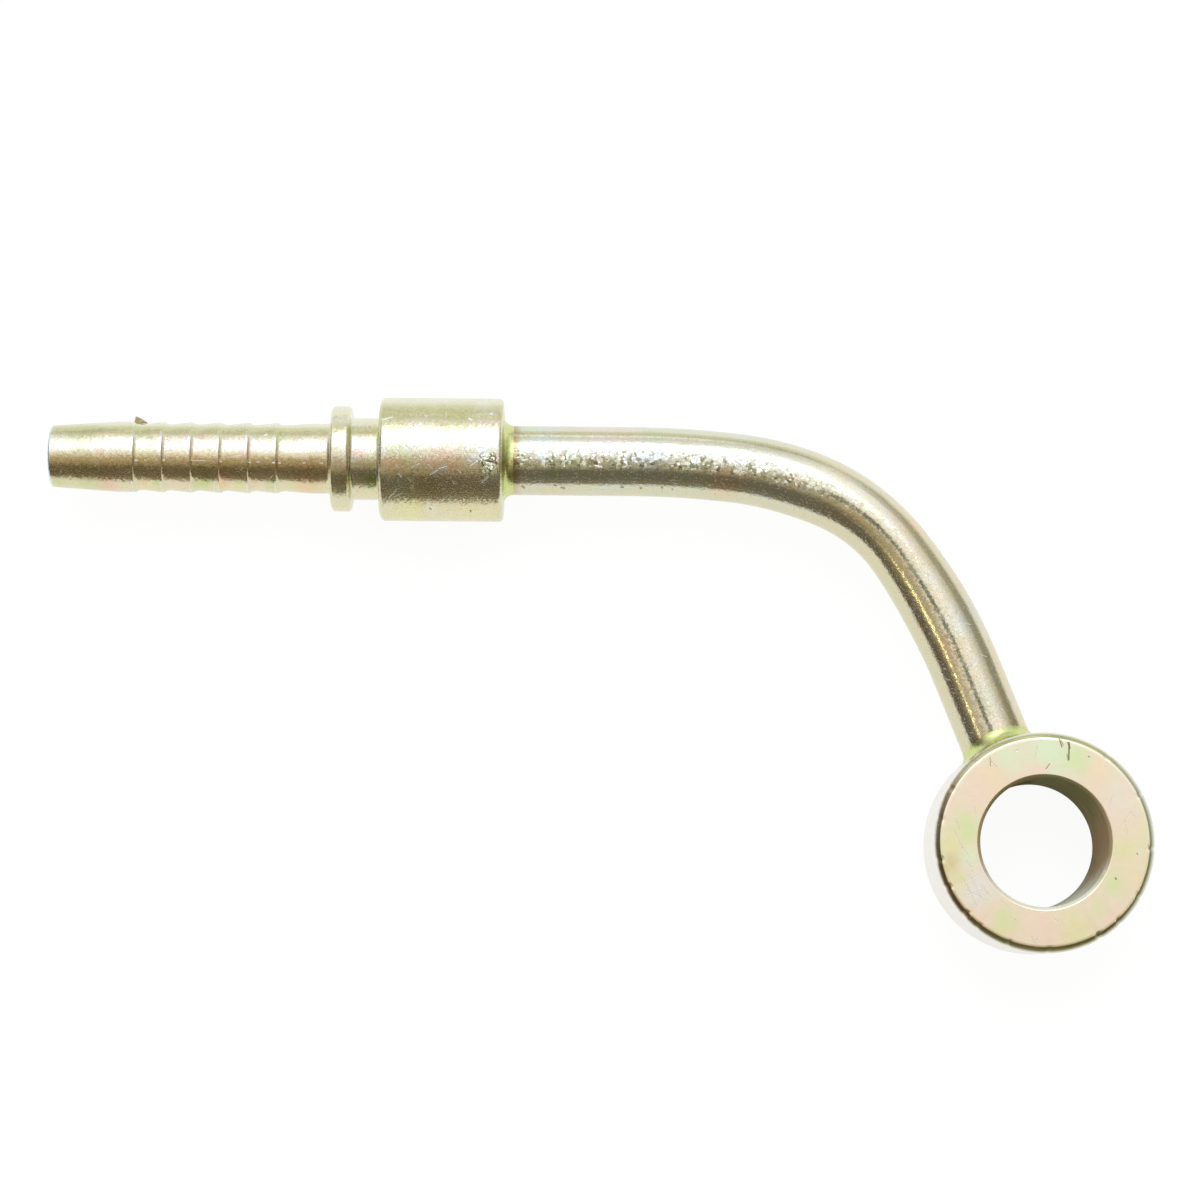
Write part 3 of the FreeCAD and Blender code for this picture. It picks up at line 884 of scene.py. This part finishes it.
EYE_BORE, EYE_OUTER, EYE_HALF = 9.05, 15.5, 9.0
rim_chamfer, bore_chamfer = 0.8, 0.45
eye_socket_radius, eye_port_radius = 5.05, 3.25
knock_reach = 1.2
eye_corners = [
    (-EYE_HALF, EYE_BORE + bore_chamfer, 0.12), (-EYE_HALF, EYE_OUTER - rim_chamfer, 0.14),
    (-EYE_HALF + rim_chamfer, EYE_OUTER, 0.1), (EYE_HALF - rim_chamfer, EYE_OUTER, 0.1),
    (EYE_HALF, EYE_OUTER - rim_chamfer, 0.14), (EYE_HALF, EYE_OUTER - knock_reach - 0.05, 0.0),
    (EYE_HALF, EYE_BORE + bore_chamfer, 0.12),
    (EYE_HALF - bore_chamfer, EYE_BORE, 0.06), (-EYE_HALF + bore_chamfer, EYE_BORE, 0.06),
]
eye_mesh = turned(eye_corners, 256)
bmesh.ops.rotate(
    eye_mesh, verts=eye_mesh.verts[:], cent=(0, 0, 0), matrix=Matrix.Rotation(-math.pi / 2, 3, "Y"),
)
# Knocks on the upper outer edge: (direction in degrees, depth, half width in degrees)
rim_knocks = (
    (-137.5, 0.22, 1.3), (-128.0, 0.12, 1.0), (-60.0, 0.22, 1.2), (-47.0, 0.14, 1.0), (-3.0, 0.16, 0.9),
    (27.0, 0.12, 1.0), (54.0, 0.12, 1.0), (129.0, 0.10, 1.2), (150.0, 0.12, 0.8), (168.0, 0.14, 1.0),
    (-170.0, 0.16, 1.0), (-155.0, 0.20, 1.0), (-110.0, 0.14, 0.9), (-88.0, 0.12, 1.0), (-30.0, 0.10, 0.9),
)
for vertex in eye_mesh.verts:
    out = math.hypot(vertex.co.x, vertex.co.y) / MM
    if vertex.co.z < (EYE_HALF - 1.0) * MM or out < EYE_OUTER - knock_reach:
        continue
    direction = math.degrees(math.atan2(vertex.co.y, vertex.co.x))
    for where, depth, half_width in rim_knocks:
        aside = abs((direction - where + 180) % 360 - 180) / half_width
        if aside < 1:
            inward = Vector((-vertex.co.x, -vertex.co.y, 0)).normalized() + Vector((0, 0, -0.7))
            vertex.co += inward * depth * MM * (1 - aside * aside)


def drill(piece, radius, start, end, heading, steps):
    """Cuts a round hole in a piece, from start to end along a heading from the bore's axis."""
    cutter_mesh = bmesh.new()
    turn = Matrix.Rotation(math.radians(heading), 4, "Z") @ Matrix.Rotation(math.pi / 2, 4, "Y")
    shift = Matrix.Translation(heading_vector(heading) * (start + end) / 2 * MM)
    bmesh.ops.create_cone(
        cutter_mesh, cap_ends=True, segments=steps, radius1=radius * MM, radius2=radius * MM,
        depth=(end - start) * MM, matrix=shift @ turn,
    )
    cutter = new_object(cutter_mesh, "cutter")
    cut = piece.modifiers.new("cut", "BOOLEAN")
    cut.operation, cut.solver, cut.object = "DIFFERENCE", "EXACT", cutter
    shape = piece.evaluated_get(bpy.context.evaluated_depsgraph_get())
    drilled = bpy.data.meshes.new_from_object(shape)
    piece.modifiers.clear()
    piece.data = drilled
    bpy.data.objects.remove(cutter)


eye = new_object(eye_mesh, "turned_banjo_eye")
drill(eye, eye_socket_radius, seat_radius, EYE_OUTER + 3, EYE_HEADING, 64)
drill(eye, eye_port_radius, 0.0, EYE_OUTER, EYE_HEADING, 48)


def eye_colour(tree, where, film):
    """A thick brown film in the bore, painted dark olive at the top as shade and pale at the bottom as light;
    a green film on the chamfers, painted brown towards -X as shade and paler towards +X as light; and a
    painted pale reflection of the table on the round side.
    """
    place_x, place_y, _ = axes_of(tree, where)
    flat = vector_node(tree, "MULTIPLY", where, (1, 1, 0)).outputs["Vector"]
    radius = vector_node(tree, "LENGTH", flat).outputs["Value"]
    in_bore = shade_of(tree, radius, (EYE_BORE + 0.42) * MM, (EYE_BORE + 0.30) * MM)
    on_side = shade_of(tree, radius, (EYE_OUTER - 0.35) * MM, (EYE_OUTER - 0.10) * MM)
    past_face = shade_of(tree, radius, (EYE_OUTER - 0.85) * MM, (EYE_OUTER - 0.75) * MM)
    on_chamfer = math_node(tree, "SUBTRACT", past_face, on_side)
    wavering = math_node(tree, "SUBTRACT", cloud(tree, where, 300.0, 3.0, 0.6), 0.5)
    wavering = product(tree, wavering, 8 * MM)
    sideways = math_node(tree, "ADD", place_x, wavering)
    upwards = math_node(tree, "ADD", place_y, wavering)
    brown, painted_olive, moss = (0.48, 0.34, 0.18, 1.0), (0.24, 0.24, 0.08, 1.0), (0.50, 0.54, 0.26, 1.0)
    # Painted shade and light in the bore: its brown film painted dark olive towards the top and pale towards
    # the bottom, where light falls in
    bore_film_and_shade = blend(tree, shade_of(tree, upwards, 2.0 * MM, 7.0 * MM), brown, painted_olive)
    bore_film_and_shade = tint(tree, bore_film_and_shade, shade_of(tree, upwards, -2.0 * MM, -7.5 * MM), 1.0, (0.86, 0.86, 0.68))
    film = blend(tree, product(tree, in_bore, 0.9), film, bore_film_and_shade)
    # Painted shade and light on the chamfers: the green film painted brown towards -X and paler green towards
    # +X
    rim_film_and_shade = blend(tree, shade_of(tree, sideways, -6.0 * MM, -13.0 * MM), moss, (0.46, 0.34, 0.17, 1.0))
    rim_film_and_shade = tint(tree, rim_film_and_shade, shade_of(tree, sideways, 8.0 * MM, 14.0 * MM), 1.0, (0.62, 0.70, 0.52))
    film = blend(tree, product(tree, on_chamfer, 0.8), film, rim_film_and_shade)
    # Painted reflection: the round side painted pale, where it mirrors the white table
    film = tint(tree, film, on_side, 0.8, (0.82, 0.79, 0.74))
    return film, product(tree, in_bore, 0.30), product(tree, in_bore, 0.85), 1.0


cream, rose, peach = (0.81, 0.73, 0.58), (0.86, 0.68, 0.54), (0.86, 0.70, 0.47)
mint, leaf, straw = (0.70, 0.83, 0.55), (0.66, 0.76, 0.38), (0.76, 0.73, 0.40)
eye.data.materials.append(plating(
    "eye_plating", object_place, eye_colour, yellow=(0.82, 0.71, 0.52, 1.0), pink=(0.86, 0.68, 0.54, 1.0),
    green=(0.76, 0.76, 0.46, 1.0), pale=(0.76, 0.79, 0.66, 1.0), shares=(0.6, 0.6, 0.4), patches=150.0,
    roughness=(0.18, 0.26), grain=(900.0, 900.0, 900.0), relief=0.000005,
    nicks=((260.0, 0.34, 0.016), (520.0, 0.36, 0.022)),
    stains=(
        (0.5, 12.6, 3.2, mint, 0.95), (4.3, 11.6, 2.2, (0.66, 0.78, 0.42), 0.9),
        (-0.7, 10.2, 1.4, rose, 0.8), (-5.0, 11.5, 2.2, mint, 0.7), (-7.6, 9.0, 2.4, peach, 0.8),
        (-9.3, 6.8, 2.4, rose, 0.7), (-11.0, 1.9, 2.2, leaf, 0.9), (-13.2, -0.4, 1.8, straw, 0.9),
        (-13.2, -3.2, 1.8, (0.66, 0.58, 0.28), 0.8), (-10.6, -2.0, 1.6, mint, 0.7),
        (-9.6, -6.2, 2.8, (0.78, 0.75, 0.68), 0.9), (-12.2, -5.4, 1.6, straw, 0.8),
        (-5.6, -11.0, 1.8, leaf, 0.7), (-6.6, -12.4, 1.6, straw, 0.7), (0.0, -11.7, 2.6, rose, 0.8),
        (4.0, -12.6, 2.4, straw, 0.8), (7.6, -9.4, 1.6, leaf, 0.6), (9.6, -5.6, 2.0, leaf, 0.7),
        (11.0, -1.0, 2.6, straw, 0.7), (9.0, -10.2, 1.8, rose, 0.7), (12.4, -4.6, 1.8, peach, 0.6),
        (11.2, 5.4, 3.2, cream, 0.9), (7.8, 10.3, 2.0, peach, 0.8), (11.5, 2.5, 2.0, rose, 0.5),
    ),
    marks=(
        (2.06, 14.5, 2.4, 13.4, 0.16, 0.12), (3.44, 14.0, 3.35, 11.6, 0.2, 0.1),
        (3.2, 14.1, 3.55, 13.2, 0.16, 0.12), (2.3, 14.4, 2.6, 13.6, 0.1, 0.2),
        (-7.7, 11.8, -7.65, 10.6, 0.1, 0.2), (3.1, 12.4, 3.25, 11.5, 0.1, 0.2),
        (9.5, 6.6, 9.15, 5.3, 0.08, 0.78), (10.5, 1.9, 12.0, 4.4, 0.08, 0.78),
        (12.0, 4.4, 12.8, 3.6, 0.08, 0.78), (-11.0, -6.8, -8.0, -8.3, 0.08, 0.78),
        (-11.3, -7.6, -8.8, -6.8, 0.064, 0.78), (-11.4, -5.2, -9.6, -9.0, 0.064, 0.74),
        (-10.4, -4.9, -8.9, -7.9, 0.056, 0.74), (-12.3, -6.2, -9.2, -4.6, 0.056, 0.74),
        (-1.9, -13.2, -1.3, -14.6, 0.112, 0.86), (-1.3, -13.4, -0.95, -14.2, 0.096, 0.82),
        (1.2, -10.7, 1.7, -11.0, 0.112, 0.86), (0.16, 10.3, 0.67, 11.0, 0.12, 0.12),
        (-1.07, 13.5, -1.33, 12.0, 0.096, 0.82), (-4.1, 12.7, -3.7, 12.9, 0.16, 0.9),
        (-7.5, 11.2, -6.7, 10.4, 0.128, 0.82), (-11.0, -2.8, -10.2, -3.8, 0.096, 0.82),
        (-10.2, -4.1, -10.8, -5.1, 0.096, 0.82), (-9.0, -6.1, -8.0, -7.3, 0.08, 0.78),
        (8.4, 12.1, 8.8, 11.8, 0.128, 0.9), (8.7, 11.2, 8.9, 11.0, 0.16, 0.9),
        (6.1, 12.1, 6.3, 12.0, 0.12, 0.1), (-3.8, -8.2, -3.0, -9.7, 0.064, 0.78),
        (-10.2, 6.3, -9.9, 6.2, 0.112, 0.9), (-2.2, 14.0, -0.44, 14.3, 0.08, 0.78),
        (9.83, -4.9, 9.9, -5.1, 0.16, 0.0), (12.85, -1.4, 12.9, -1.6, 0.12, 0.1),
        (-6.3, -8.0, -4.8, -9.5, 0.064, 0.76), (-5.0, -10.5, -4.0, -11.0, 0.08, 0.78),
        (-9.9, 4.9, -9.7, 3.7, 0.08, 0.82), (-12.7, 1.5, -11.5, -1.0, 0.064, 0.78),
        (-12.0, -0.2, -10.6, -2.2, 0.064, 0.78), (-12.5, 3.2, -12.0, 1.6, 0.08, 0.78),
        (11.2, 3.2, 11.6, 1.4, 0.048, 0.74), (10.9, 1.4, 12.6, 4.4, 0.04, 0.74),
        (7.2, -13.0, 7.8, -12.6, 0.2, 0.05),
    ),
))
keep_flats_true(eye)
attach(eye, "root")
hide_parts("banjo_eye")


# Braze at the eye: filler metal between the tube and the round side of the eye. It follows
# the seam, and is as thick as a ball of 1.8 mm radius rolled round it.

eye_braze_radius = 1.8


def eye_braze_ring(bm, edges, share):
    """Places one ring: share runs from 0 on the tube to 1 on the eye, and None is the seam."""
    start = heading_vector(EYE_HEADING)
    left = heading_vector(EYE_HEADING + 90)
    up = Vector((0, 0, 1))
    for vertex in {vertex for edge in edges for vertex in edge.verts}:
        angle = vertex[bm.verts.layers.float["angle"]]
        out = left * math.cos(angle) + up * math.sin(angle)
        if share is None:
            reach = math.sqrt(EYE_OUTER ** 2 - (TUBE_RADIUS * math.cos(angle)) ** 2)
            vertex.co = (start * reach + out * TUBE_RADIUS) * MM
            continue
        away = TUBE_RADIUS + eye_braze_radius
        reach = math.sqrt((EYE_OUTER + eye_braze_radius) ** 2 - (away * math.cos(angle)) ** 2)
        ball = start * reach + out * away
        to_eye = Vector((-ball.x, -ball.y, 0)).normalized()
        to_tube = -out
        vertex.co = (ball + to_tube.slerp(to_eye, share) * eye_braze_radius) * MM


eye_braze_mesh = bmesh.new()
angle_layer = eye_braze_mesh.verts.layers.float.new("angle")
made = bmesh.ops.create_circle(eye_braze_mesh, cap_ends=False, segments=128, radius=1)
for vertex in made["verts"]:
    vertex[angle_layer] = math.atan2(vertex.co.y, vertex.co.x)
edges = eye_braze_mesh.edges[:]
first_ring = edges
eye_braze_ring(eye_braze_mesh, edges, 0.0)
arc_steps = 10
for share in [step / arc_steps for step in range(1, arc_steps + 1)] + [None]:
    edges = next_ring(eye_braze_mesh, edges)
    eye_braze_ring(eye_braze_mesh, edges, share)
bmesh.ops.bridge_loops(eye_braze_mesh, edges=first_ring + edges)
smooth_outward(eye_braze_mesh)
sharpen_folds(eye_braze_mesh)
eye_braze = new_object(eye_braze_mesh, "eye_braze_ring")
eye_braze.data.materials.append(braze_plating)
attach(eye_braze, "root")
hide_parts("eye_braze_fillet")
